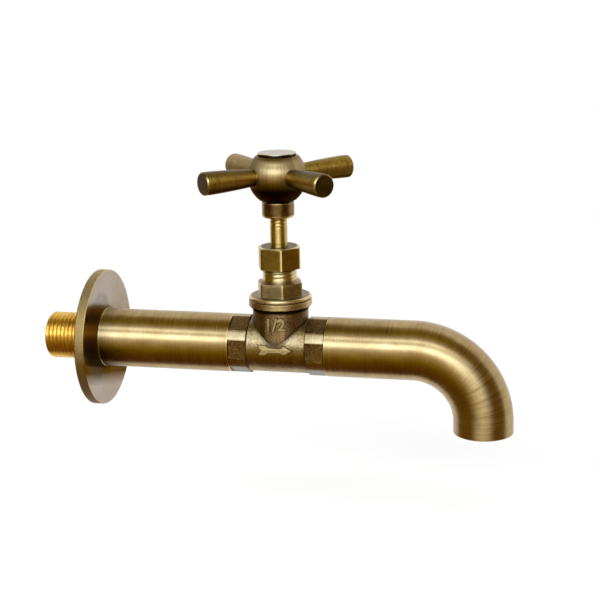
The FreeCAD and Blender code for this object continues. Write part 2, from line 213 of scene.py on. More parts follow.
def emptied(owner):
    """The node tree of a material or a world, with nothing in it yet."""
    owner.use_nodes = True
    owner.node_tree.nodes.clear()
    return owner.node_tree


def new_material(name, base, rough=0.5, lined=0.0, metallic=1.0):
    """New material with its node tree and shader; the shader's IOR stays at the default.

    The value of lined is how strongly its lines draw reflections out across themselves.
    """
    made = bpy.data.materials.new(name)
    tree = emptied(made)
    shader = add(tree, "BsdfPrincipled", {
        "Base Color": colour(base), "Roughness": rough, "Metallic": metallic, "Anisotropic": lined}).node
    if lined:
        feed(shader, "Tangent", add(tree, "Attribute", attribute_name="comb", output="Vector"))
    add(tree, "OutputMaterial", shader.outputs[0])
    return made, tree, shader


def feed(shader, part, source):
    """Links the output of a node to one part of a shader, such as its roughness."""
    shader.id_data.links.new(source, shader.inputs[part])


def product(tree, share, *others):
    """Shares of 0 to 1 multiplied, so one only where they all are one."""
    for other in others:
        share = add(tree, "Math", share, other, operation="MULTIPLY")
    return share


def cover(shader, value, *shares, part="Base Color"):
    """Covers what a part of a shader has so far with a value, by the product of the shares.

    The value is a hex colour, a linear colour, a roughness or the output of a node.
    """
    tree, socket = shader.id_data, shader.inputs[part]
    so_far = socket.links[0].from_socket if socket.is_linked else tuple(socket.default_value)
    value = colour(value) if isinstance(value, str) else value
    first, result, data_type = (6, 2, "RGBA") if socket.type == "RGBA" else (2, 0, "FLOAT")
    feed(shader, part, add(tree, "Mix", {0: product(tree, *shares), first: so_far, first + 1: value},
                           output=result, data_type=data_type))


def noise(tree, vector, sizes, detail=3.0, roughness=0.6):
    """Noise whose grains measure sizes, in metres, along the three axes of the vector."""
    scaled = add(tree, "Mapping", {"Vector": vector, "Scale": tuple(1 / np.broadcast_to(sizes, 3))})
    return add(tree, "TexNoise", {"Vector": scaled, "Scale": 1.0, "Detail": detail, "Roughness": roughness})


def fasten(piece, material, node, body):
    """Gives a piece its material and its place in the assembly, in place of a CAD node."""
    piece.data.materials.append(material)
    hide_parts(node)
    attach(piece, body)


# Machined brass without patina is golden, and its faint tool marks run around the axis
machined_brass, tree, shader = new_material("machined_brass", "#E2BA56", lined=0.8)
lay = add(tree, "Attribute", attribute_name="lay", output="Vector")
marks = noise(tree, lay, (TOOL_MARK, 20 * MM, 20 * MM))
tarnish = noise(tree, lay, (6 * MM, 5 * MM, 5 * MM))
cover(shader, "#F0CE70", ranged(tree, tarnish, 0, 1))
feed(shader, "Roughness", ranged(tree, marks, 0.27, 0.42))
feed(shader, "Normal", add(tree, "Bump", {"Strength": 0.35, "Distance": 0.02 * MM, "Height": marks}))

thread_rows = np.arange(nipple_low.x, 0, PIPE_PITCH / ROWS_PER_PITCH)[:, None]
thread = thread_radius(thread_rows, STEPS_AROUND, THREAD_R, PIPE_THREAD_DEPTH, PIPE_PITCH)
thread = np.minimum(thread, THREAD_R - PIPE_LEAD_IN + (thread_rows - nipple_low.x))
inlet_nipple = about_axis("inlet_nipple_threaded", [
    rounded([
        (NIPPLE_BORE_R, nipple_high.x, 0),
        (NIPPLE_BORE_R, nipple_low.x, 0.4 * MM),
        (THREAD_R - PIPE_LEAD_IN - 0.1 * MM, nipple_low.x, 0),
    ]),
    (thread_rows, thread, 0),
    rounded([
        (SHANK_R, 0, 0),
        (SHANK_R, flange_high.x, 0),
        (SPIGOT_R, flange_high.x, 0.1 * MM),
        (SPIGOT_R, nipple_high.x, 0.1 * MM),
        (NIPPLE_BORE_R, nipple_high.x, 0),
    ]),
], *TUBE_LINE)
fasten(inlet_nipple, machined_brass, "inlet_nipple", "tap_body")

# Wall flange: a flat disc that hides the hole in the wall.  It is cut from brass sheet,
# linished up and down, blackened in a chemical patina and rubbed back to a warm brown.

FLANGE_HOLE_R = THREAD_R + 0.1 * MM
FLANGE_EDGE = 0.35 * MM
BRUSH_LINE = 0.5 * MM      # real grit 180 lines are 0.1 mm wide, too fine to show
# The oxide colour and its dull glare serve for real oxide and also for painted shade and painted shadow
OXIDE_AND_PAINTED_SHADE = "#1C0F05"
OXIDE_AND_SHADE_GLARE = (0.6, 0.46, 0.25, 1)      # oxide gives no white glare at glancing angles


def patina_tone(tree, streak, cloud):
    """How far the patina is rubbed back: more along some brush lines and in wide clouds."""
    lines, clouds = ranged(tree, streak, 0.0, 0.55), ranged(tree, cloud, 0.05, 0.45)
    return add(tree, "Math", lines, clouds, operation="ADD")


def antique_brass(name, lines, bright="#C0A878", dark="#8A6F42", rubbed="#DCC592", rough=(0.24, 0.4),
                  lined=0.9, underside_shade=0.0, underside_shade_from=-0.7, top_shade=0.0):
    """Brass with a relieved antique patina, brushed so that its lines have the given sizes.

    Brown oxide stays between the brush lines and in hollows, and bare brass shows on edges.
    Undersides are painted with the oxide colour as shade, by the share given for undersides, all of it
    where the upward part of the normal is below its limit, and level tops are painted brown as shade by the
    share given for tops.
    """
    made, tree, shader = new_material(name, dark, lined=lined)
    lay = add(tree, "Attribute", attribute_name="lay", output="Vector")
    rub = add(tree, "Attribute", attribute_name="rub", output="Fac")
    streak = noise(tree, lay, lines, detail=4.0, roughness=0.7)
    cloud = noise(tree, lay, (9 * MM, 7 * MM, 7 * MM), detail=2.0)
    cover(shader, bright, patina_tone(tree, streak, cloud))
    upward = add(tree, "SeparateXYZ", add(tree, "NewGeometry", output="Normal"), output=2)
    # Painted shade: undersides darkened with the oxide colour and its dull glare
    if underside_shade:
        painted_underside_shade = ranged(tree, upward, underside_shade, 0, underside_shade_from, 0.05)
        cover(shader, OXIDE_AND_PAINTED_SHADE, painted_underside_shade)
        cover(shader, OXIDE_AND_SHADE_GLARE, painted_underside_shade, part="Specular Tint")
    # Painted shade: level tops darkened brown
    if top_shade:
        cover(shader, "#4A3A28", ranged(tree, upward, 0, top_shade, 0.7, 0.95))
    cover(shader, OXIDE_AND_PAINTED_SHADE, ranged(tree, rub, 0.85, 0, -1, 0))
    cover(shader, rubbed, ranged(tree, rub, 0, 1, 0, 0.8))
    feed(shader, "Roughness", ranged(tree, streak, *rough))
    feed(shader, "Normal", add(tree, "Bump", {"Strength": 0.5, "Distance": 0.02 * MM, "Height": streak}))
    return made, tree, shader


def object_place(tree):
    """The X, Y and Z of the place on the piece, as three outputs."""
    return add(tree, "SeparateXYZ", add(tree, "TexCoord", output="Object")).node.outputs


def span(tree, first, second):
    """Length of the hypotenuse of two values."""
    square = add(tree, "Math", second, second, operation="MULTIPLY")
    squares = add(tree, "Math", first, first, square, operation="MULTIPLY_ADD")
    return add(tree, "Math", squares, operation="SQRT")


def between(tree, value, rise_from, rise_to, fall_from, fall_to):
    """Share that rises from 0 to 1 and falls back to 0 between the given millimetres."""
    rise = ranged(tree, value, 0, 1, rise_from * MM, rise_to * MM)
    return product(tree, rise, ranged(tree, value, 1, 0, fall_from * MM, fall_to * MM))


# Pale and smooth, with fine brush lines.  The lay of a piece on the X axis is (along X,
# along -Z, along Y), so these lines run upright
linished_brass, tree, shader = antique_brass(
    "linished_antique_brass", (20 * MM, 30 * MM, BRUSH_LINE),
    bright="#B0A08C", dark="#9A8872", rubbed="#D6C394", rough=(0.17, 0.25))
x, y, z = object_place(tree)
# The disc is painted darker beside the tube as a painted reflection of the tube, and below the
# tube as a painted dark reflection; both marks hang a little to the front and show no white glare
leaning = add(tree, "Math", y, 0.25, z, operation="MULTIPLY_ADD")
painted_tube_reflection = between(tree, leaning, -18, -13, 12.5, 16)
painted_reflection_below_tube = product(tree, between(tree, leaning, -22.5, -16.5, -12, -9), 0.95)
cover(shader, "#6A4A1C", painted_tube_reflection, ranged(tree, y, 0.5, 0, -6 * MM, 2 * MM))
cover(shader, "#5A3E08", painted_reflection_below_tube)
cover(shader, (0.6, 0.4, 0.2, 1), painted_tube_reflection, part="Specular Tint")
cover(shader, (0.5, 0.45, 0.38, 1), painted_reflection_below_tube, part="Specular Tint")
# The turned edge is more golden than the face, grainy, and browner on its lower run
edge_grain = noise(tree, add(tree, "TexCoord", output="Object"), 0.6 * MM)
on_edge = ranged(tree, span(tree, y, z), 0, 1, flange_high.z - 0.3 * MM, flange_high.z - 0.1 * MM)
cover(shader, "#AC8E4C", on_edge, ranged(tree, edge_grain, 1.0, 0.2))
cover(shader, "#54400F", on_edge, ranged(tree, edge_grain, 0.6, 0, 0.36, 0.5))
cover(shader, "#5E430E", on_edge, ranged(tree, z, 0.75, 0, -26 * MM, -10 * MM))
cover(shader, 0.36, on_edge, part="Roughness")
wall_flange = turned("wall_flange_disc", [
    (FLANGE_HOLE_R, 0, 0),
    (flange_high.z, 0, FLANGE_EDGE),
    (flange_high.z, flange_high.x, FLANGE_EDGE),
    (FLANGE_HOLE_R, flange_high.x, 0),
    (FLANGE_HOLE_R, 0, 0),
], *TUBE_LINE, columns=192, comb=(0, 1, 0))
fasten(wall_flange, linished_brass, "wall_flange", "tap_body")

# Inlet tube: drawn brass tube, 26 mm across with a 1 mm wall, soldered over the nipple and
# the valve body.  It is brushed around on a belt, so the lines circle it.

TUBE_END_EDGE = 0.3 * MM
SOLDER = 0.25 * MM
TUBE_LINES = (BRUSH_LINE, 25 * MM, 25 * MM)
# Brown streaks circle the tube, and the oxide colour darkens it beside the joint, most on its underside
joint_brass, tree, shader = antique_brass("ring_brushed_antique_brass_at_joint", TUBE_LINES)
x, y, z = object_place(tree)
cover(shader, OXIDE_AND_PAINTED_SHADE, ranged(tree, x, 0.85, 0, tube_low.x + 1 * MM, tube_low.x + 15 * MM),
      ranged(tree, z, 1, 0.25, -3 * MM, 2 * MM))
# A bright fillet of solder closes the joint
cover(shader, "#E8D8AC", ranged(tree, x, 0.6, 0, tube_low.x + 0.2 * MM, tube_low.x + 0.35 * MM))
inlet_tube = turned("inlet_tube_brushed", [
    (TUBE_BORE_R, tube_low.x, 0),
    (TUBE_R + SOLDER, tube_low.x, 0),
    (TUBE_R + 0.3 * SOLDER, tube_low.x + 0.4 * SOLDER, 0),
    (TUBE_R, tube_low.x + 1.1 * SOLDER, 0),
    (TUBE_R, tube_high.x, TUBE_END_EDGE),
    (TUBE_BORE_R, tube_high.x, 0),
    (TUBE_BORE_R, tube_low.x, 0),
], *TUBE_LINE)
fasten(inlet_tube, joint_brass, "inlet_tube", "tap_body")

# Spout tube: the same drawn tube, bent down through a quarter turn on a mandrel, cut off
# square and brushed across its length.

spout_low, spout_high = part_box("spout_tube")
SPOUT_BEND_R = 30.4 * MM
MOUTH_X = spout_high.x - TUBE_R
RUN = MOUTH_X - SPOUT_BEND_R - spout_low.x
BEND = SPOUT_BEND_R * math.pi / 2
DROP = -SPOUT_BEND_R - spout_low.z
SPOUT_LENGTH = RUN + BEND + DROP
EDGE_BACK = 0.35 * MM                 # where a cut end starts to round
EDGE_MIDDLE = 0.09 * MM               # how far the middle of the rounding stays from each face
# Brown streaks circle the tube between bright brushed lines
ring_brushed_brass = antique_brass("ring_brushed_antique_brass", TUBE_LINES)[0]


def spout_line(travel):
    """Centre line and outward direction at each distance: straight, a quarter circle, straight."""
    turn = np.clip((travel - RUN) / SPOUT_BEND_R, 0, math.pi / 2)
    x = spout_low.x + np.minimum(travel, RUN) + SPOUT_BEND_R * np.sin(turn)
    z = -SPOUT_BEND_R * (1 - np.cos(turn)) - np.maximum(travel - RUN - BEND, 0)
    centre = np.stack([x, 0 * x, z], -1)
    outward = np.stack([np.sin(turn), 0 * turn, np.cos(turn)], -1)
    return centre, outward


# The rows run from the bore at the body along the outside to the mouth and back inside
outside = np.concatenate([np.linspace(0.5 * MM, RUN, 12), RUN + np.linspace(0, BEND, 57)[1:],
                          RUN + BEND + np.linspace(0, DROP - 0.5 * MM, 4)[1:]])
end_travel = np.array([EDGE_BACK, TUBE_END_EDGE, EDGE_MIDDLE, 0.0, 0.0, 0.0])
end_radius = TUBE_R - np.array([0.0, 0.0, EDGE_MIDDLE, TUBE_END_EDGE, EDGE_BACK, TUBE_R - TUBE_BORE_R])
travel = np.concatenate([end_travel[::-1], outside, SPOUT_LENGTH - end_travel, outside[::-1], [0.0]])
radius = np.concatenate([end_radius[::-1], TUBE_R + 0 * outside, end_radius, TUBE_BORE_R + 0 * outside,
                         [TUBE_BORE_R]])[:, None]
worn = np.concatenate([[0, 0, 1, 1, 1, 0], 0 * outside, [0, 1, 1, 1, 0, 0], 0 * outside, [0]])[:, None]
centre, outward = spout_line(travel)
angle = np.arange(STEPS_AROUND) * 2 * math.pi / STEPS_AROUND
up_part, side_part = radius * np.cos(angle), radius * np.sin(angle)
spout_points = centre[:, None] + up_part[..., None] * outward[:, None]
spout_points[..., 1] += side_part
spout_lay = np.stack([travel[:, None] + 0 * up_part, up_part, side_part], -1)
heading = np.stack([outward[:, 2], 0 * travel, -outward[:, 0]], -1)[:, None]
spout_tube = closed_surface("spout_tube_brushed", spout_points, spout_lay, worn + 0 * up_part, heading)
fasten(spout_tube, ring_brushed_brass, "spout_tube", "tap_body")

# Valve body: a sand casting in brass.  The barrel and the round of its collars are ground
# and brushed with the tubes; the spanner flats, the neck and the marks keep the sandy skin.

body_low, body_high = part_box("valve_body")
STEM_X = (body_low.x + body_high.x) / 2
STEM_LINE = (STEM_X, 0, 0), (0, 0, 1)
BODY_LINE = (STEM_X, 0, 0), (1, 0, 0)
BARREL_R = 12.1 * MM
BARREL_HALF = 13.1 * MM
BARREL_COLUMNS = 288
COLLAR_REACH = STEM_X - tube_high.x
COLLAR_FLAT = 24.3 / 2 * MM
SPIGOT_REACH = body_high.x - STEM_X
RIM_R = body_high.y
RIM_TOP = body_high.z
WATERWAY_R = 9.0 * MM
CHAMBER_R = 9.5 * MM
NECK_BORE_R = 10.24 * MM
BORE_FLOOR = 11.5 * MM
SEAT_R = 6.0 * MM
SEAT_PLATE_TOP = 2.0 * MM
SEAT_PLATE_BOTTOM = -1.0 * MM
PARTITION = 12.0 * MM
OVERLAP = 0.5 * MM


def smooth_step(value, start, stop):
    """Rises from 0 at start to 1 at stop with level ends."""
    share = np.clip((value - start) / (stop - start), 0, 1)
    return share * share * (3 - 2 * share)


def soft_least(first, second, width):
    """The lesser of two values, rounded where they cross within the width."""
    share = np.clip(0.5 + (second - first) / (2 * width), 0, 1)
    return second + (first - second) * share - width * share * (1 - share)


def barrel_radius(along, angle):
    """Radius of the casting at a place along the tube axis and an angle around it.

    The barrel steps up to the collars, and six flats cut each collar, two of them upright.
    """
    sixth = math.pi / 3
    from_flat = angle % sixth - sixth / 2
    collar = soft_least(TUBE_R + 0 * angle, COLLAR_FLAT / np.cos(from_flat), 0.12 * MM)
    rise = smooth_step(np.abs(along), BARREL_HALF - 0.25 * MM, BARREL_HALF + 0.25 * MM)
    return BARREL_R + (collar - BARREL_R) * rise


half_rows = np.concatenate([np.linspace(0, BARREL_HALF - 0.35 * MM, 24),
                            np.linspace(BARREL_HALF - 0.3 * MM, BARREL_HALF + 0.3 * MM, 9),
                            np.linspace(BARREL_HALF + 0.4 * MM, COLLAR_REACH - 0.02 * MM, 10)])
barrel_rows = np.concatenate([-half_rows[::-1], half_rows[1:]])[:, None]
barrel_angle = np.arange(BARREL_COLUMNS) * 2 * math.pi / BARREL_COLUMNS
end_along = np.array([SPIGOT_REACH, SPIGOT_REACH, COLLAR_REACH])[:, None]
end_r = np.array([0, SPIGOT_R, SPIGOT_R])[:, None]
valve_body = about_axis("valve_body_casting", [
    (-end_along, end_r, 0),
    (barrel_rows, barrel_radius(barrel_rows, barrel_angle), 0),
    (end_along[::-1], end_r[::-1], 0),
], *BODY_LINE, BARREL_COLUMNS)
neck = turned("neck", [
    (0, -1 * MM, 0),
    (11.8 * MM, -1 * MM, 0),
    (12.28 * MM, 17.0 * MM, 0.5 * MM),
    (13.0 * MM, 17.7 * MM, 0.6 * MM),
    (RIM_R, 18.6 * MM, 0.5 * MM),
    (RIM_R, 19.5 * MM, 0.12 * MM),
    (RIM_R - 0.28 * MM, 19.7 * MM, 0.1 * MM),
    (RIM_R - 0.05 * MM, 19.9 * MM, 0.12 * MM),
    (RIM_R - 0.05 * MM, RIM_TOP, 0.45 * MM),
    (0, RIM_TOP, 0),
], *STEM_LINE, 192)


def drilled(line, radius, start, stop):
    """Plain round hollow about a line, from start to stop."""
    return turned("drilled", [(0, start, 0), (radius, start, 0), (radius, stop, 0), (0, stop, 0)], *line, 96)


def half_round(start, stop, level, side):
    """Stretch of the round waterway from start to stop, above (1) or below (-1) a level."""
    lift = math.asin(side * level / WATERWAY_R)
    angle = side * np.linspace(lift, math.pi - lift, 72)
    section = WATERWAY_R * np.stack([np.cos(angle), np.sin(angle)], -1)
    middle = section.mean(0) + 0 * section
    rings = np.stack([middle, section, section, middle])
    along = np.array([start, start, stop, stop])[:, None] + 0 * angle
    points = np.concatenate([STEM_X + along[..., None], rings], -1)
    return closed_surface("half_round", points, points, 0 * along, (0, 0, 1))


def combine(base, tool, operation):
    """Joins a closed piece to the base, or cuts it out, and removes the tool."""
    step = base.modifiers.new(operation, "BOOLEAN")
    step.operation = operation
    step.solver = "MANIFOLD"
    step.object = tool
    evaluated = base.evaluated_get(bpy.context.evaluated_depsgraph_get())
    result = bpy.data.meshes.new_from_object(evaluated)
    result.materials.clear()
    base.modifiers.clear()
    base.data = result
    bpy.data.objects.remove(tool)


combine(valve_body, neck, "UNION")
for hollow in (
        turned("chamber", [
            (0, SEAT_PLATE_TOP, 0), (CHAMBER_R, SEAT_PLATE_TOP, 0), (CHAMBER_R, BORE_FLOOR, 0),
            (NECK_BORE_R, BORE_FLOOR, 0), (NECK_BORE_R, RIM_TOP + MM, 0), (0, RIM_TOP + MM, 0),
        ], *STEM_LINE, 96),
        drilled(STEM_LINE, SEAT_R, -6 * MM, SEAT_PLATE_TOP + MM),
        drilled(BODY_LINE, WATERWAY_R, -SPIGOT_REACH - MM, -PARTITION),
        drilled(BODY_LINE, WATERWAY_R, PARTITION, SPIGOT_REACH + MM),
        half_round(-PARTITION - OVERLAP, 9 * MM, SEAT_PLATE_BOTTOM, -1),
        half_round(0, PARTITION + OVERLAP, SEAT_PLATE_TOP + 0.01 * MM, 1)):
    combine(valve_body, hollow, "DIFFERENCE")
valve_body.data.name = "valve_body_casting"
valve_body.data.shade_smooth()
valve_body.data.set_sharp_from_angle(angle=math.radians(32))


def near(tree, value, spot, width):
    """One at a spot, falling to zero at the width on both sides of it."""
    offset = add(tree, "Math", value, spot, operation="SUBTRACT")
    return ranged(tree, add(tree, "Math", offset, operation="ABSOLUTE"), 1, 0, 0.35 * width, width)


# The casting's skin: sand grain about 0.3 mm across, drawn at twice that so that it shows
SAND_GRAIN = 0.7 * MM
cast_brass, tree, shader = new_material("sand_cast_antique_brass", "#4A3210", lined=0.8)
place = add(tree, "TexCoord", output="Object")
x, y, z = object_place(tree)
grain = noise(tree, place, SAND_GRAIN, detail=3.0, roughness=0.7)
pits = noise(tree, place, 1.5 * MM, detail=2.0)
cloud = noise(tree, place, 7 * MM, detail=2.0)
streak = noise(tree, place, TUBE_LINES, detail=4.0, roughness=0.7)
from_stem_x = add(tree, "Math", x, STEM_X, operation="SUBTRACT")
stem_reach = add(tree, "Math", from_stem_x, operation="ABSOLUTE")
from_tube_axis = span(tree, y, z)
collar_edge = BARREL_HALF - 0.2 * MM, BARREL_HALF + 0.2 * MM
round_edge = TUBE_R - 0.1 * MM, TUBE_R - 0.03 * MM
on_collar = ranged(tree, stem_reach, 0, 1, *collar_edge)
on_round = ranged(tree, from_tube_axis, 0, 1, *round_edge)
off_round = ranged(tree, from_tube_axis, 1, 0, *round_edge)
# The wheel ground the round of the collars bright.  It left some sand on the barrel, least
# on the wall side of the neck, where the lighter ground finish is a painted highlight, and the brush lines
# of the tubes go on over both
ground_barrel = product(
    tree, ranged(tree, from_tube_axis, 1, 0, BARREL_R + 0.05 * MM, BARREL_R + 0.15 * MM),
    ranged(tree, stem_reach, 1, 0, *collar_edge), ranged(tree, from_stem_x, 1.0, 0.68, -10 * MM, -5 * MM),
    ranged(tree, grain, 0.5, 1.2, 0.38, 0.6))
ground = add(tree, "Math", product(tree, on_round, on_collar), ground_barrel, operation="MAXIMUM")
raised_sand = ranged(tree, grain, 0, 0.7, 0.38, 0.66)
sand_tone = add(tree, "Math", raised_sand, ranged(tree, cloud, 0, 0.3), operation="ADD")
cover(shader, "#AC8E60", sand_tone)
tones = {"data_type": "RGBA", "output": 2}
relieved = patina_tone(tree, streak, cloud)
brushed = add(tree, "Mix", {0: relieved, 6: colour("#8A7148"), 7: colour("#C2AE86")}, **tones)
cover(shader, brushed, ground)
# The rim was turned
turned_rim = add(tree, "Mix", {0: sand_tone, 6: colour("#96793F"), 7: colour("#DCC28C")}, **tones)
cover(shader, turned_rim, ranged(tree, z, 0, 0.85, 18.2 * MM, 18.7 * MM))
# The flats that face down are painted pale grey as a painted reflection of the floor
painted_reflection_facing_up = add(tree, "SeparateXYZ", add(tree, "NewGeometry", output="True Normal"), output=2)
cover(shader, "#8E8478", ranged(tree, painted_reflection_facing_up, 1, 0, -0.8, -0.6), on_collar, off_round)
# The oxide colour is painted in the steps, at the ends of the flats and along the seam of the neck,
# partly as oxide in these creases and partly as painted shadow, and under the rim as painted shadow
crease_oxide_and_shadow = product(tree, near(tree, stem_reach, BARREL_HALF, 0.45 * MM),
                 ranged(tree, from_tube_axis, 0.5, 0, 13.2 * MM, 13.6 * MM))
for line in (
        product(tree, near(tree, stem_reach, COLLAR_REACH, 0.5 * MM), off_round),
        product(tree, near(tree, from_tube_axis, BARREL_R, 0.9 * MM), ranged(tree, z, 0, 0.55, 0, 2 * MM),
                near(tree, span(tree, from_stem_x, y), 12.0 * MM, 0.9 * MM)),
        between(tree, z, 16.1, 17.0, 18.3, 18.7)):
    crease_oxide_and_shadow = add(tree, "Math", crease_oxide_and_shadow, line, operation="MAXIMUM")
oxide_and_shadow_share = product(tree, crease_oxide_and_shadow, 0.97)
cover(shader, OXIDE_AND_PAINTED_SHADE, oxide_and_shadow_share)
cover(shader, OXIDE_AND_SHADE_GLARE, oxide_and_shadow_share, part="Specular Tint")
feed(shader, "Roughness", ranged(tree, grain, 0.38, 0.52))
cover(shader, ranged(tree, streak, 0.28, 0.44), ground, part="Roughness")
sand_height = add(tree, "Math", pits, 0.8, grain, operation="MULTIPLY_ADD")
ground_height = add(tree, "Math", streak, 0.15, product(tree, grain, 0.5), operation="MULTIPLY_ADD")
skin_height = add(tree, "Mix", {0: ground, 2: sand_height, 3: ground_height})
feed(shader, "Normal", add(tree, "Bump", {"Strength": 0.9, "Distance": 0.16 * MM, "Height": skin_height}))
fasten(valve_body, cast_brass, "valve_body", "tap_body")


def marking(name, outline, relief, edge, place_x, place_z, surface_r, upright):
    """Raised mark cast on a round surface: a flat outline is thickened and wrapped onto it.

    The outline's own X is carried round the neck, or its own Y round the barrel, by arc length.
    """
    outline.extrude = relief / 2
    outline.bevel_depth = edge
    outline.bevel_resolution = 2
    flat = placed(name, outline)
    mesh = bpy.data.meshes.new_from_object(flat.evaluated_get(bpy.context.evaluated_depsgraph_get()))
    bpy.data.objects.remove(flat)
    spots = np.empty(len(mesh.vertices) * 3)
    mesh.vertices.foreach_get("co", spots)
    across, above, out = spots.reshape(-1, 3).T
    reach = surface_r + out + relief / 2
    if upright:
        swing = (across + place_x) / surface_r
        wrapped = np.stack([STEM_X + reach * np.sin(swing), -reach * np.cos(swing), above + place_z], -1)
    else:
        swing = (above + place_z) / surface_r
        wrapped = np.stack([STEM_X + across + place_x, -reach * np.cos(swing), reach * np.sin(swing)], -1)
    mesh.vertices.foreach_set("co", wrapped.ravel())
    weld(mesh, 1e-6)
    return placed(name, mesh)


def mottled(name, grain, dark, bright, rough, metallic=0.0, detail=3.0):
    """Material of even roughness whose colour goes from dark to bright in grains of one size."""
    made, tree, shader = new_material(name, dark, rough, metallic=metallic)
    cover(shader, bright, noise(tree, add(tree, "TexCoord", output="Object"), grain, detail))
    return made


# The flow arrow and the size of the thread stand out from the casting; their faces are
# rubbed bright, and a thin dark sheet round the foot of each is painted shadow
rubbed_brass, tree, shader = new_material("rubbed_cast_brass", "#A48A5A")
grain = noise(tree, add(tree, "TexCoord", output="Object"), SAND_GRAIN)
cover(shader, "#D6C08E", ranged(tree, grain, 0, 1))
feed(shader, "Roughness", ranged(tree, grain, 0.45, 0.6))
feed(shader, "Normal", add(tree, "Bump", {"Strength": 0.5, "Distance": 0.05 * MM, "Height": grain}))
painted_shadow_round_marks = mottled("painted_shadow_round_the_marks", SAND_GRAIN, OXIDE_AND_PAINTED_SHADE, "#3A2610", 0.5, metallic=1.0, detail=2.0)

MARK_RELIEF = 0.5 * MM
FOOT_RELIEF = 0.12 * MM
FOOT_WIDTH = 0.36 * MM
arrow_top = np.array([(-7.3, 1.95), (-4.3, 1.95), (-2.7, 0.85), (3.2, 0.85), (3.8, 1.8), (7.2, 0.1)]) * MM
notch = np.array([(-5.9, 0.1)]) * MM
arrow_outline = np.vstack([arrow_top, arrow_top[:-1][::-1] * (1, -1), notch])
arrow_curve = bpy.data.curves.new("flow_arrow", "CURVE")
arrow_curve.dimensions = "2D"
arrow_curve.fill_mode = "BOTH"
spline = arrow_curve.splines.new("POLY")
spline.points.add(len(arrow_outline) - 1)
spline.points.foreach_set("co", np.insert(arrow_outline, 2, [[0], [1]], axis=1).ravel())
spline.use_cyclic_u = True
size_text = bpy.data.curves.new("size_mark", "FONT")
size_text.body = "1/2"
size_text.size = 7.6 * MM
size_text.space_character = 0.95
size_text.align_x = "CENTER"
# The foot layer is the thin dark sheet of painted shadow round each mark
for layer, finish, relief, wider, edge in (("mark", rubbed_brass, MARK_RELIEF, 0.0, 0.14 * MM),
                                           ("foot", painted_shadow_round_marks, FOOT_RELIEF, FOOT_WIDTH, 0.02 * MM)):
    arrow_curve.offset = wider
    size_text.offset = 0.03 * MM + wider
    for mark in (
            marking("flow_arrow_" + layer, arrow_curve, relief, edge, 0, 0.5 * MM, BARREL_R, False),
            marking("size_" + layer, size_text, relief, edge, 0.3 * MM, 9.4 * MM, 12.15 * MM, True)):
        mark.data.materials.append(finish)
        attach(mark, "tap_body")

# Bonnet with its fibre gasket: the headwork is forged brass, turned to a flange, a cone and
# the gland thread, with a hexagon left for the spanner.  The gasket seals it on the rim.

bonnet_low, bonnet_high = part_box("bonnet")
gasket_low, gasket_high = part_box("bonnet_gasket")
BONNET_SPIGOT_R = 10.2 * MM
FLANGE_FOOT = gasket_high.z
FLANGE_TOP = FLANGE_FOOT + 1.4 * MM
BONNET_FLAT = 18.25 / 2 * MM
BONNET_HEX_TOP = FLANGE_TOP + 5.9 * MM
BONNET_HEX_EDGE = 0.35 * MM
BONNET_CONE_TOP = BONNET_HEX_TOP + 1.2 * MM
BONNET_TURN = math.radians(21.0 - 90)
GLAND_THREAD_R = 7.7 * MM
GLAND_NECK_R = GLAND_THREAD_R - 0.3 * MM
GLAND_PITCH = 1.6 * MM
STUFFING_R = 5.6 * MM
STUFFING_FLOOR = 33 * MM
GUIDE_R = 3.85 * MM
GUIDE_FOOT = 31.5 * MM
LIFT_THREAD_R = 5.05 * MM
LIFT_THREAD_FOOT = 14.6 * MM
JUMPER_ROOM_R = 7.7 * MM
GASKET_HOLE_R = 10.25 * MM
HEX_COLUMNS = 192


def hexagon_radius(half_flat, turn, columns, corner=44):
    """Distance from the centre to a hexagon with rounded corners, at each column.

    The high power mean of the six flats' nearness rounds the corners and leaves the flats flat.
    """
    angle = np.arange(columns) * 2 * math.pi / columns
    flats = turn + math.pi / 6 + np.arange(6)[:, None] * math.pi / 3
    nearness = np.maximum(np.cos(angle - flats), 0) / half_flat
    return (nearness ** corner).sum(0) ** (-1 / corner)


hexagon = hexagon_radius(BONNET_FLAT, BONNET_TURN, HEX_COLUMNS)
root = np.linspace(0, 1, 6)[:, None]
hex_rows = np.linspace(FLANGE_TOP + 0.6 * MM, BONNET_HEX_TOP - BONNET_HEX_EDGE, 6)[:, None]
edge_turn = np.linspace(0, math.pi / 2, 6)[:, None]
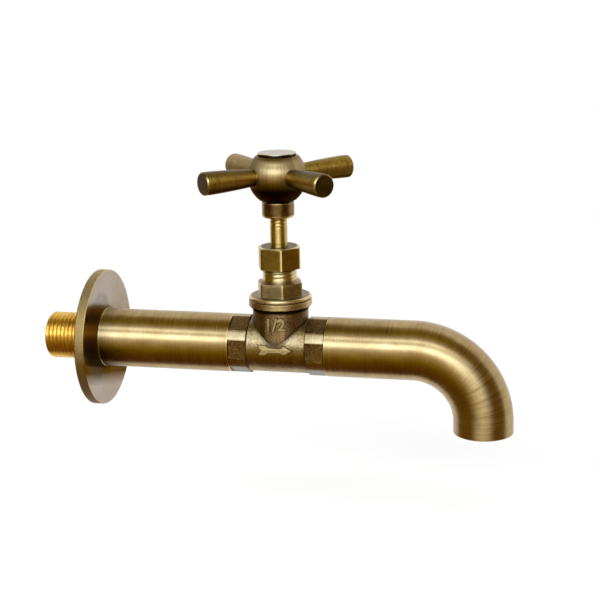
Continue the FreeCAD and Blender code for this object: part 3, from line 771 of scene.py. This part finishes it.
# The thread runs out below the nut: a shallow crest shows there on the turned neck
gland_rows = np.arange(BONNET_CONE_TOP + 0.5 * MM, bonnet_high.z, GLAND_PITCH / 12)[:, None]
gland_thread = thread_radius(gland_rows, HEX_COLUMNS, GLAND_THREAD_R, 0.7 * MM, GLAND_PITCH, 0.3)
run_out = smooth_step(gland_rows, BONNET_CONE_TOP + 2.2 * MM, BONNET_CONE_TOP + 5 * MM)
bonnet = about_axis("bonnet_headwork", [
    rounded([
        (BONNET_SPIGOT_R, bonnet_low.z, 0),
        (BONNET_SPIGOT_R, FLANGE_FOOT, 0),
        (bonnet_high.y, FLANGE_FOOT, 0.35 * MM),
        (bonnet_high.y, FLANGE_TOP - 0.1 * MM, 0.75 * MM),
        (11.5 * MM, FLANGE_TOP, 0),
    ]),
    (FLANGE_TOP + 0.5 * MM * root ** 2, hexagon + 0.5 * MM * (1 - root) ** 2, 0),
    (hex_rows, hexagon, 0),
    (BONNET_HEX_TOP - BONNET_HEX_EDGE * (1 - np.sin(edge_turn)),
     hexagon - BONNET_HEX_EDGE * (1 - np.cos(edge_turn)), 0.6),
    (*rounded([
        (9.1 * MM, BONNET_HEX_TOP, 0),
        (8.95 * MM, BONNET_HEX_TOP, 0.15 * MM),
        (GLAND_THREAD_R - 0.2 * MM, BONNET_CONE_TOP, 0.4 * MM),
        (GLAND_NECK_R, BONNET_CONE_TOP + 0.4 * MM, 0),
    ])[:2], 0),
    (gland_rows, GLAND_NECK_R + (gland_thread - GLAND_NECK_R) * (0.25 + 0.75 * run_out), 0),
    rounded([
        (STUFFING_R, bonnet_high.z, 0),
        (STUFFING_R, STUFFING_FLOOR, 0),
        (GUIDE_R, STUFFING_FLOOR, 0),
        (GUIDE_R, GUIDE_FOOT, 0),
        (LIFT_THREAD_R, GUIDE_FOOT, 0),
        (LIFT_THREAD_R, LIFT_THREAD_FOOT, 0),
        (JUMPER_ROOM_R, LIFT_THREAD_FOOT, 0),
        (JUMPER_ROOM_R, bonnet_low.z, 0),
        (BONNET_SPIGOT_R, bonnet_low.z, 0),
    ]),
], *STEM_LINE, HEX_COLUMNS)

# Forged and tumbled skin, less grainy than the casting, with lighter brass on its corners; its level tops
# are painted brown as shade
forged_brass, tree, shader = antique_brass(
    "forged_antique_brass", (0.9 * MM, 2.2 * MM, 2.2 * MM),
    bright="#C4AC7C", dark="#806638", rough=(0.36, 0.5), top_shade=0.6)
# The turned neck above the hexagon is smoother and brighter, with dark oxide in its grooves
height = object_place(tree)[2]
on_neck = ranged(tree, height, 0, 1, BONNET_CONE_TOP - 0.2 * MM, BONNET_CONE_TOP + 0.3 * MM)
rings = noise(tree, add(tree, "TexCoord", output="Object"), (30 * MM, 30 * MM, 0.9 * MM))
cover(shader, "#E2CE9A", on_neck, ranged(tree, rings, 0.2, 0.9))
cover(shader, 0.34, on_neck, part="Roughness")
fasten(bonnet, forged_brass, "bonnet", "tap_body")

# Red-brown fibre board: dull, with darker flocks
fibre = mottled("vulcanised_fibre", 0.8 * MM, "#4A1A12", "#6E2C1E", 0.8)
gasket = turned("bonnet_gasket_fibre", [
    (GASKET_HOLE_R, gasket_low.z, 0),
    (gasket_high.y, gasket_low.z, 0),
    (gasket_high.y, gasket_high.z, 0),
    (GASKET_HOLE_R, gasket_high.z, 0),
    (GASKET_HOLE_R, gasket_low.z, 0),
], *STEM_LINE)
fasten(gasket, fibre, "bonnet_gasket", "tap_body")

# Gland nut: hexagon bar, drilled, threaded and chamfered at the top, then given the patina.
# It presses the gland ring on the packing round the spindle.

nut_low, nut_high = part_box("gland_nut")
NUT_FLAT = 17.46 / 2 * MM
NUT_TURN = math.radians(19.5 - 90)
NUT_TOP_R = 8.3 * MM
NUT_FOOT_R = NUT_FLAT * 1.16 - 0.12 * MM
NUT_TOP_SLOPE = 2.6
NUT_FOOT_SLOPE = 1.5
NUT_ROOF = 2.2 * MM
STEM_HOLE_R = 3.95 * MM
nut_hexagon = hexagon_radius(NUT_FLAT, NUT_TURN, HEX_COLUMNS, corner=34)
nut_rows = np.concatenate([
    nut_low.z + np.linspace(0, 0.25, 4) * MM,
    np.linspace(nut_low.z + 0.5 * MM, nut_high.z - 1.6 * MM, 6),
    nut_high.z - np.linspace(1.2, 0, 14) * MM])[:, None]
top_chamfer = NUT_TOP_R + (nut_high.z - nut_rows) * NUT_TOP_SLOPE
foot_round = NUT_FOOT_R + (nut_rows - nut_low.z) * NUT_FOOT_SLOPE
nut_radius = soft_least(nut_hexagon + 0 * nut_rows, np.minimum(top_chamfer, foot_round), 0.12 * MM)
nut_edge = np.exp(-((nut_high.z - nut_rows) / (0.35 * MM)) ** 2)
corner_wear = smooth_step(nut_hexagon, NUT_FLAT * 1.115, NUT_FLAT * 1.135)
gland_nut = about_axis("gland_nut_hexagon", [
    (nut_low.z, GLAND_THREAD_R, 0),
    (nut_rows, nut_radius, np.maximum(nut_edge, corner_wear)),
    (*rounded([
        (NUT_TOP_R - 0.4 * MM, nut_high.z, 0),
        (STEM_HOLE_R + 0.6 * MM, nut_high.z, 0),
        (STEM_HOLE_R, nut_high.z, 0.15 * MM),
        (STEM_HOLE_R, nut_high.z - NUT_ROOF, 0),
        (GLAND_THREAD_R, nut_high.z - NUT_ROOF, 0),
        (GLAND_THREAD_R, nut_low.z, 0),
    ])[:2], 0),
], *STEM_LINE, HEX_COLUMNS)
# Turned and milled metal under the patina: golden, with worn corners and a top painted brown as shade
machined_antique = antique_brass(
    "machined_antique_brass", (1.2 * MM, 5 * MM, 5 * MM),
    bright="#B09440", dark="#86681E", rubbed="#E8D29C", rough=(0.34, 0.44), top_shade=0.75)[0]
fasten(gland_nut, machined_antique, "gland_nut", "tap_body")

# Spindle: turned brass rod with a coarse thread that lifts the washer.  Its shank runs
# through the gland and shows bare, golden metal with a spiral tool mark near the handle.

spindle_low, spindle_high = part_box("spindle")
collar_low, collar_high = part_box("handle_collar")
SPINDLE_COLUMNS = 96
STEM_R = 3.77 * MM
STEM_THREAD_TOP = 25.0 * MM
STEM_LEAD = 2 * MM
SOCKET_R = 2.55 * MM
SOCKET_DEPTH = 8.3 * MM
HEAD_R = 3.4 * MM
SHOULDER_Z = collar_low.z + 8.4 * MM
MARK_PITCH = 1.55 * MM
lower_rows = np.arange(spindle_low.z, STEM_THREAD_TOP, STEM_LEAD / 12)[:, None]
lower_thread = thread_radius(lower_rows, SPINDLE_COLUMNS, spindle_high.y, 0.9 * MM, STEM_LEAD)
shank_rows = np.arange(STEM_THREAD_TOP, SHOULDER_Z, 0.16 * MM)[:, None]
spiral = (shank_rows / MARK_PITCH - np.arange(SPINDLE_COLUMNS) / SPINDLE_COLUMNS) % 1
spiral_depth = (0.03 + 0.2 * smooth_step(shank_rows, 52.5 * MM, 54.5 * MM)) * MM
spindle = about_axis("spindle_turned", [
    rounded([(0, spindle_low.z + SOCKET_DEPTH, 0), (SOCKET_R, spindle_low.z + SOCKET_DEPTH, 0),
             (SOCKET_R, spindle_low.z, 0)]),
    (lower_rows, lower_thread, 0),
    (shank_rows, STEM_R - spiral_depth * np.exp(-((spiral - 0.5) / 0.16) ** 2), 0),
    rounded([(HEAD_R, SHOULDER_Z, 0), (HEAD_R, spindle_high.z, 0), (0, spindle_high.z, 0)]),
], *STEM_LINE, SPINDLE_COLUMNS)
# Wiped and handled brass is paler and greener than the new thread of the tail
handled_brass = antique_brass(
    "handled_turned_brass", (TOOL_MARK, 20 * MM, 20 * MM),
    bright="#DCC47C", dark="#A8893E", rough=(0.3, 0.4))[0]
fasten(spindle, handled_brass, "spindle", "handle")

# Handle: a turned ball with a collar below, four tapered arms screwed into it and a plain
# button over the fixing screw.  All are brass bar, brushed, darkened and rubbed back.

hub_low, hub_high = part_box("handle_hub")
cap_low, cap_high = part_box("index_cap")
HUB_R = 12.7 * MM
HUB_FOOT_R = 7.8 * MM
HUB_TOP_R = 9.15 * MM
HUB_FOOT_Z = collar_high.z + 0.7 * MM
HUB_MIDDLE_Z = collar_high.z + 11.5 * MM
HUB_BOSS_R = 5.2 * MM
HUB_BORE_R = 3.8 * MM
CAP_HOLE_R = 4.6 * MM
CAP_HOLE_FLOOR = hub_high.z - 4 * MM


def circle_through(first, middle, last):
    """Centre and radius of the circle through three points of a plane."""
    sides = 2 * np.array([np.subtract(middle, first), np.subtract(last, first)])
    rises = np.array([np.dot(middle, middle), np.dot(last, last)]) - np.dot(first, first)
    centre = np.linalg.solve(sides, rises)
    return centre, math.dist(centre, first)


ball_centre, ball_round = circle_through(
    (HUB_FOOT_R, HUB_FOOT_Z), (HUB_R, HUB_MIDDLE_Z), (HUB_TOP_R, hub_high.z))
ball_z = np.linspace(HUB_FOOT_Z + 0.15 * MM, hub_high.z - 0.12 * MM, 60)[:, None]
hub = about_axis("handle_hub_ball", [
    (*rounded([
        (HUB_BORE_R, hub_low.z, 0),
        (HUB_BOSS_R, hub_low.z, 0),
        (HUB_BOSS_R, HUB_FOOT_Z, 0.2 * MM),
        (HUB_FOOT_R - 0.15 * MM, HUB_FOOT_Z, 0),
    ])[:2], -1),
    (ball_z, ball_centre[0] + np.sqrt(ball_round ** 2 - (ball_z - ball_centre[1]) ** 2), 0),
    rounded([
        (HUB_TOP_R - 0.15 * MM, hub_high.z, 0),
        (CAP_HOLE_R, hub_high.z, 0),
        (CAP_HOLE_R, CAP_HOLE_FLOOR, 0),
        (HUB_BORE_R, CAP_HOLE_FLOOR, 0),
        (HUB_BORE_R, hub_low.z, 0),
    ]),
], *STEM_LINE, 160, poleward=HUB_R)
# The ball is brushed from pole to pole, so its lines are narrow around the stem; its underside is painted
# near black as shade
ball_brass, tree, shader = antique_brass(
    "pole_brushed_antique_brass", (30 * MM, BRUSH_LINE, BRUSH_LINE),
    dark="#745A32", rough=(0.3, 0.46), underside_shade=0.97, underside_shade_from=-0.38)
# Its shoulder is painted browner as shade
painted_shoulder_shade_facing = add(tree, "SeparateXYZ", add(tree, "NewGeometry", output="Normal"), output=2)
cover(shader, "#6A5430", near(tree, painted_shoulder_shade_facing, 0.72, 0.17), 0.75)
# Its left side is painted darker as shade
cover(shader, "#5A4420", ranged(tree, object_place(tree)[0], 0.75, 0, STEM_X - 11 * MM, STEM_X - 4 * MM))
fasten(hub, ball_brass, "handle_hub", "handle")

handle_collar = turned("handle_collar_skirt", [
    (HUB_BOSS_R, collar_low.z, 0),
    (collar_high.y, collar_low.z, 0.95 * MM),
    (collar_high.y, collar_high.z, 0.3 * MM),
    (HUB_BOSS_R, collar_high.z, 0),
    (HUB_BOSS_R, collar_low.z, 0),
], *STEM_LINE)
# Hands and polish reach the collar least, so it stays the darkest brown
dark_antique = antique_brass(
    "dark_antique_brass", 1.6 * MM, bright="#92764A", dark="#3A2612", rubbed="#C8AC74", lined=0.5)[0]
fasten(handle_collar, dark_antique, "handle_collar", "handle")

CAP_PLUG_R = 4.5 * MM
CAP_FOOT = hub_high.z + 0.12 * MM
cap = turned("index_cap_button", [
    (0, cap_low.z, 0),
    (CAP_PLUG_R, cap_low.z, 0),
    (CAP_PLUG_R, CAP_FOOT, 0),
    (cap_high.y - 0.35 * MM, CAP_FOOT, 0.1 * MM),
    (cap_high.y, hub_high.z + 0.4 * MM, 0.15 * MM),
    (cap_high.y, cap_high.z, 0.25 * MM),
    (0, cap_high.z, 0),
], *STEM_LINE)
# The button's flat top is brushed one way and shows pale, and its side is painted near black as shade
cap_brass, tree, shader = antique_brass(
    "brushed_antique_brass_cap", (20 * MM, 20 * MM, BRUSH_LINE),
    bright="#BCB09C", dark="#AC9E88", rubbed="#D2C6AE", rough=(0.2, 0.3), lined=0.5)
painted_cap_side_shade = ranged(tree, object_place(tree)[2], 0.9, 0, cap_high.z - 0.35 * MM, cap_high.z - 0.2 * MM)
cover(shader, OXIDE_AND_PAINTED_SHADE, painted_cap_side_shade)
cover(shader, OXIDE_AND_SHADE_GLARE, painted_cap_side_shade, part="Specular Tint")
fasten(cap, cap_brass, "index_cap", "handle")

ARM_ANGLE = math.radians(46.2)
ARM_REACH = 36.7 * MM
ARM_SEAT = 11.8 * MM
ARM_SWELL_END = 33 * MM
ARM_R = 4.95 * MM
ARM_STUD_END = 7 * MM
ARM_STUD_R = 2.5 * MM
arm_centre, arm_round = circle_through((ARM_SEAT, 3.6 * MM), (23 * MM, 4.5 * MM), (ARM_SWELL_END, ARM_R))
swell_at = np.linspace(ARM_SEAT, ARM_SWELL_END, 28)[:, None]
arm_bands = [
    (ARM_STUD_END, 0, 0),
    (ARM_STUD_END, ARM_STUD_R, 0),
    (swell_at, arm_centre[1] + np.sqrt(arm_round ** 2 - (swell_at - arm_centre[0]) ** 2), 0),
    rounded([
        (ARM_R, 34 * MM, 0),
        (ARM_R, ARM_REACH - 0.45 * MM, 0.2 * MM),
        (4.5 * MM, ARM_REACH, 0.2 * MM),
        (0, ARM_REACH, 0),
    ]),
]
# The arms are brushed around, golden where hands rub them, painted black below as shade and painted brown on
# level tops as shade
arm_brass, tree, shader = antique_brass(
    "arm_brushed_antique_brass", (BRUSH_LINE, 8 * MM, 8 * MM),
    bright="#C09E48", dark="#7A5C1A", rubbed="#EED8A0", underside_shade=0.93, top_shade=0.35)
# The arms that point to the front are painted browner on top as shade, and the one at the back left is paler
x, y, z = object_place(tree)
upward = add(tree, "SeparateXYZ", add(tree, "NewGeometry", output="Normal"), output=2)
cover(shader, "#3E2C12", ranged(tree, y, 0.7, 0, -6 * MM, 0), ranged(tree, upward, 0, 1, 0.4, 0.8))
cover(shader, "#D8CCB2", ranged(tree, y, 0, 0.25, 2 * MM, 8 * MM),
      ranged(tree, x, 1, 0, STEM_X - 8 * MM, STEM_X - 2 * MM))
# The sawn end keeps its oxide inside the bright ring of the chamfer
along = add(tree, "SeparateXYZ", add(tree, "Attribute", attribute_name="lay", output="Vector"))
cover(shader, OXIDE_AND_PAINTED_SHADE, ranged(tree, along, 0, 0.8, ARM_REACH - 0.06 * MM, ARM_REACH - 0.02 * MM))
for number in range(4):
    heading = ARM_ANGLE + number * math.pi / 2
    arm = about_axis(f"handle_arm_{number + 1}_tapered", arm_bands, (STEM_X, 0, HUB_MIDDLE_Z),
                     (math.cos(heading), math.sin(heading), 0), 96)
    fasten(arm, arm_brass, f"handle_arm_{number + 1}", "handle")

# Inner parts, which stay as the frame has them: brass jumper, nut, gland ring and screw,
# the moulded rubber washer and the plaited graphite packing.

# Matte black rubber with a faint grey bloom, and packing whose strands shine a little
rubber = mottled("moulded_nitrile_rubber", 1.5 * MM, "#141414", "#242322", 0.6)
packing = mottled("plaited_graphite_packing", 1.0 * MM, "#1E1E20", "#3A3A3E", 0.45)
inner_finish = {
    "tap_washer": rubber, "gland_packing": packing, "jumper": machined_brass, "washer_nut": machined_brass,
    "gland_ring": machined_brass, "handle_screw": machined_brass,
}
for node, finish in inner_finish.items():
    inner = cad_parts[node]
    inner.data.materials.clear()
    inner.data.materials.append(finish)

# Studio: the camera of the photograph, a pale floor, a white backdrop behind and below, two
# long soft lamps in front and a dim warm room, which make the bands of light on the tubes.

scene = bpy.context.scene
scene.view_settings.view_transform = "Standard"
camera_data = bpy.data.cameras.new("camera")
camera_data.sensor_width = 36.0
camera_data.lens = 92.67
camera = placed("camera", camera_data)
scene.camera = camera
CAMERA_PLACE = Vector((0.25243, -0.63414, 0.18469))
CAMERA_RIGHT = Vector((0.97137, 0.23650, -0.02179))
CAMERA_UP = Vector((-0.03709, 0.24177, 0.96964))
CAMERA_BACK = Vector((0.23459, -0.94108, 0.24362))
camera.matrix_world = Matrix.Translation(CAMERA_PLACE) @ Matrix(
    (CAMERA_RIGHT, CAMERA_UP, CAMERA_BACK)).transposed().to_4x4()

world = bpy.data.worlds.new("studio")
scene.world = world
tree = emptied(world)
world.cycles.sampling_method = "NONE"
direction = add(tree, "TexCoord", output="Generated")
BACKDROP_TILT = math.radians(6.5)
backdrop_way = (0.06, math.cos(BACKDROP_TILT), -math.sin(BACKDROP_TILT))
facing = add(tree, "VectorMath", direction, backdrop_way, operation="DOT_PRODUCT", output="Value")
x, y, z = add(tree, "SeparateXYZ", direction).node.outputs
rise = add(tree, "Math", z, product(tree, y, -1.0), operation="ARCTAN2")
turn_share = add(tree, "Math", rise, 0.5 / math.pi, 0.5, operation="MULTIPLY_ADD")
room_light = add(tree, "ValToRGB", turn_share)
# The room by degrees above the front horizon: warm and dark below, two lamps, dark overhead
ROOM = [
    (-110, (0.10, 0.03, 0.0)), (-70, (0.12, 0.035, 0.0)), (-45, (0.19, 0.10, 0.0)), (-30, (0.3, 0.21, 0.0)),
    (-12, (0.6, 0.5, 0.16)), (4, (1.1, 1.0, 0.85)), (14, (2.0, 2.1, 2.2)), (19, (4.6, 5.4, 6.8)),
    (32, (4.6, 5.4, 6.8)), (36, (1.5, 1.6, 1.8)), (43, (1.5, 1.6, 1.8)), (46, (3.2, 3.7, 4.4)),
    (53, (3.2, 3.7, 4.4)), (57, (1.0, 1.0, 1.0)), (72, (0.42, 0.37, 0.08)), (86, (0.23, 0.18, 0.0)),
    (112, (0.4, 0.31, 0.1)),
]
stops = room_light.node.color_ramp.elements
for number, (degrees, light) in enumerate(ROOM):
    level = degrees / 360 + 0.5
    stop = stops[0] if number == 0 else stops[-1] if number == len(ROOM) - 1 else stops.new(level)
    stop.position = level
    stop.color = (*light, 1)
# The lamps and their glow are brightest in the middle; they reach from the left end to the
# right end of the set, and then it is dark
offset = add(tree, "Math", x, 0.05, operation="SUBTRACT")
sideways = add(tree, "Math", offset, operation="ABSOLUTE")
boost = ranged(tree, sideways, 1.3, 1, 0.05, 0.2)
glow = add(tree, "VectorMath", {0: room_light, "Scale": boost}, operation="SCALE")
beside_lamps = ranged(tree, sideways, 0, 1, 0.3, 0.66)
front_half = add(tree, "Mix", {0: beside_lamps, 6: glow, 7: (0.22, 0.13, 0.01, 1)}, **tones)
backdrop = ranged(tree, facing, 0, 1, 0.135, 0.36)
seen_in_metal = add(tree, "Mix", {0: backdrop, 6: front_half, 7: (1, 1, 1, 1)}, **tones)
rays = add(tree, "LightPath").node.outputs
for_light, for_metal, for_camera = (add(tree, "Background", light, 1.0) for light in (
    (0.92, 0.92, 0.92, 1), seen_in_metal, (1, 1, 1, 1)))
glossy_or_clear = add(tree, "Math", rays["Is Glossy Ray"], rays["Is Transmission Ray"], operation="MAXIMUM")
with_metal = add(tree, "MixShader", glossy_or_clear, for_light, for_metal)
add(tree, "OutputWorld", add(tree, "MixShader", rays["Is Camera Ray"], with_metal, for_camera))


def soft_lamp(name, azimuth, elevation, distance, size_across, size_up, power):
    """Rectangular lamp that looks at the stem; azimuth is degrees from the front towards +X."""
    data = bpy.data.lights.new(name, "AREA")
    data.shape = "RECTANGLE"
    data.size = size_across
    data.size_y = size_up
    data.energy = power
    lamp = placed(name, data)
    a, e = math.radians(azimuth), math.radians(elevation)
    way = Vector((math.sin(a) * math.cos(e), -math.cos(a) * math.cos(e), math.sin(e)))
    lamp.location = Vector((STEM_X, 0, 0.03)) + way * distance
    lamp.rotation_euler = way.to_track_quat("Z", "Y").to_euler()
    lamp.visible_glossy = False


soft_lamp("front_lamp", -12, 28, 1.2, 1.6, 0.3, 6)
soft_lamp("upper_lamp", -12, 47, 1.2, 1.6, 0.14, 2)

# White paper that fades out away from the tap and isn't in the way from below
FLOOR_Z = -0.10
FLOOR_HALF = 1.5
floor_material = bpy.data.materials.new("studio_floor")
tree = emptied(floor_material)
place = add(tree, "TexCoord", output="Object")
far = add(tree, "VectorMath", place, (STEM_X, 0, 0), operation="DISTANCE", output="Value")
behind = add(tree, "NewGeometry", output="Backfacing")
unseen = add(tree, "Math", ranged(tree, far, 0, 1, 0.25, 0.6), behind, operation="MAXIMUM")
paper = add(tree, "BsdfDiffuse", (0.98, 0.98, 0.98, 1))
add(tree, "OutputMaterial", add(tree, "MixShader", unseen, paper, add(tree, "BsdfTransparent")))
floor_mesh = bpy.data.meshes.new("studio_floor")
corners = (-1, -1), (1, -1), (1, 1), (-1, 1)
floor_mesh.from_pydata([(FLOOR_HALF * a, FLOOR_HALF * b, FLOOR_Z) for a, b in corners], [], [(0, 1, 2, 3)])
floor = placed("studio_floor", floor_mesh)
floor.data.materials.append(floor_material)
floor.visible_glossy = False
